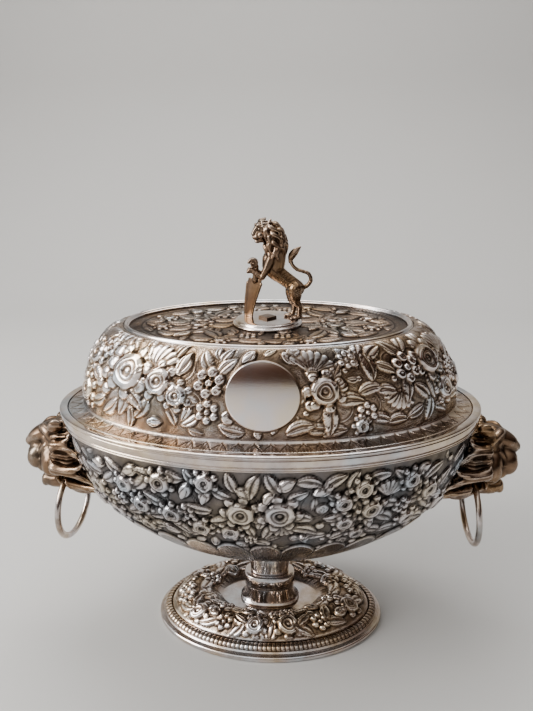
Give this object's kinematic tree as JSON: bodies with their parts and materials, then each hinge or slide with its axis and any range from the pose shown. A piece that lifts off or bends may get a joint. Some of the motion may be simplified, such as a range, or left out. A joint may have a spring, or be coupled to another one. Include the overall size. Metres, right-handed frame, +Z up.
{
  "type": "soup tureen",
  "caption": "Oval footed soup tureen with embossed floral relief, a lift-off domed lid with a lion finial, and lion-mask handles with drop rings.",
  "frame": {"origin": "centre of the foot's resting face, which is the bottom centre of the whole object", "axes": "+X along the oval's long axis, from handle to handle; +Y towards the back; +Z up; the side with the blank reserve faces -Y"},
  "size_m": [0.372, 0.1888, 0.301],
  "materials": {
    "polished_silver": "worn polished silver plate with light tarnish",
    "chased_silver": "chased and embossed silver plate, brown tarnish in the recesses",
    "cast_silver": "cast silver plate, dark tarnish in the recesses, bright worn highs",
    "fastener_silver": "satin plated fastener"
  },
  "bodies": {
    "base": {"foot_rim": "polished_silver", "foot_bead_band": "polished_silver", "foot_dome": "chased_silver", "stem_lower": "polished_silver", "stem_band": "polished_silver", "stem_upper": "polished_silver", "bowl_shell": "chased_silver", "bowl_rim": "polished_silver", "lion_mask_left": "cast_silver", "lion_mask_right": "cast_silver"},
    "ring_left": {"ring_left": "polished_silver"},
    "ring_right": {"ring_right": "polished_silver"},
    "lid": {"lid_dome": "chased_silver", "lid_bezel": "polished_silver", "lid_panel": "chased_silver", "lid_moulding": "polished_silver", "finial_plate": "polished_silver", "finial_lion": "cast_silver", "finial_shield": "cast_silver", "finial_bolt": "fastener_silver", "finial_washer": "fastener_silver", "finial_nut": "fastener_silver"}
  },
  "joints": [
    {"name": "lid_lift", "type": "slide", "parent": "base", "child": "lid", "axis": [0, 0, 1], "range_m": [0, 0.15]},
    {"name": "ring_left_swing", "type": "hinge", "parent": "base", "child": "ring_left", "pos_m": [-0.15, 0, 0.1081], "axis": [0.1392, 0.9903, 0], "range_deg": [-30, 100]},
    {"name": "ring_right_swing", "type": "hinge", "parent": "base", "child": "ring_right", "pos_m": [0.15, 0, 0.1081], "axis": [0, -1, 0], "range_deg": [-30, 100]}
  ]
}
